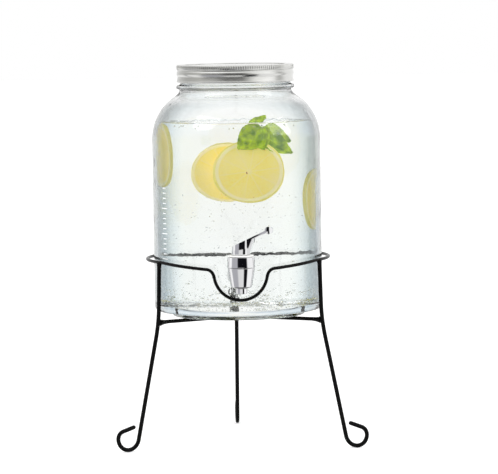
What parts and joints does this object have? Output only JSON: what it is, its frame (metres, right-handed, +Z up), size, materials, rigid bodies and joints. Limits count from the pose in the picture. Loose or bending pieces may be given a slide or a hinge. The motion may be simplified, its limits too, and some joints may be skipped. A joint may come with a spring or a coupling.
{
  "type": "beverage dispenser",
  "caption": "Round glass drink jar with a screw lid and a lever spigot, standing in a wire stand with curled feet.",
  "frame": {"origin": "middle of the base of the whole object's box, on the plane the three feet stand on", "axes": "+Z up along the jar's axis, -Y towards the spigot at the front, +X to the right seen from the front"},
  "size_m": [0.2488, 0.2668, 0.378],
  "materials": {
    "glass": "clear pressed glass",
    "steel": "satin silver",
    "chrome": "polished",
    "wire": "gloss black",
    "silicone": "matte translucent white",
    "nylon": "smooth white"
  },
  "bodies": {
    "stand": {"stand_ring": "wire", "spoke_hub": "wire", "leg_left": "wire", "leg_right": "wire", "leg_back": "wire", "spoke_left": "wire", "spoke_right": "wire", "spoke_back": "wire"},
    "jar_body": {"jar": "glass", "outer_washer": "silicone", "inner_washer": "silicone", "shank_nut": "nylon", "spigot_body": "chrome", "bonnet": "chrome"},
    "lid": {"lid_disc": "steel", "lid_gasket": "silicone"},
    "screw_band": {"lid_band": "steel"},
    "swivel": {"cam_washer": "nylon"},
    "valve": {"stem": "steel", "lever_pin": "steel", "seat_plug": "silicone", "return_spring": "steel"},
    "handle": {"lever": "chrome"}
  },
  "joints": [
    {"name": "jar_lift", "type": "slide", "parent": "stand", "child": "jar_body", "axis": [0, 0, 1], "range_m": [0, 0.1]},
    {"name": "lid_lift", "type": "slide", "parent": "jar_body", "child": "lid", "axis": [0, 0, 1], "range_m": [0, 0.06]},
    {"name": "lid_turn", "type": "hinge", "parent": "lid", "child": "screw_band", "pos_m": [0, -0.00973, 0.37], "axis": [0, 0, 1], "range_deg": [0, 450]},
    {"name": "lever_swivel", "type": "hinge", "parent": "jar_body", "child": "swivel", "pos_m": [0, -0.11973, 0.1956], "axis": [0, 0, 1], "range_deg": [-206, 50]},
    {"name": "stem_lift", "type": "slide", "parent": "swivel", "child": "valve", "axis": [0, 0, 1], "range_m": [0, 0.004], "stiffness_N_per_m": 93, "springref_m": -0.02, "deforming": ["return_spring"]},
    {"name": "lever_tilt", "type": "hinge", "parent": "valve", "child": "handle", "pos_m": [0, -0.11973, 0.2], "axis": [0.2079, 0.9781, 0], "range_deg": [0, 40]}
  ],
  "couplings": [
    {"joint": "lever_tilt", "follows": "stem_lift", "rad_per_m": 174.53}
  ]
}
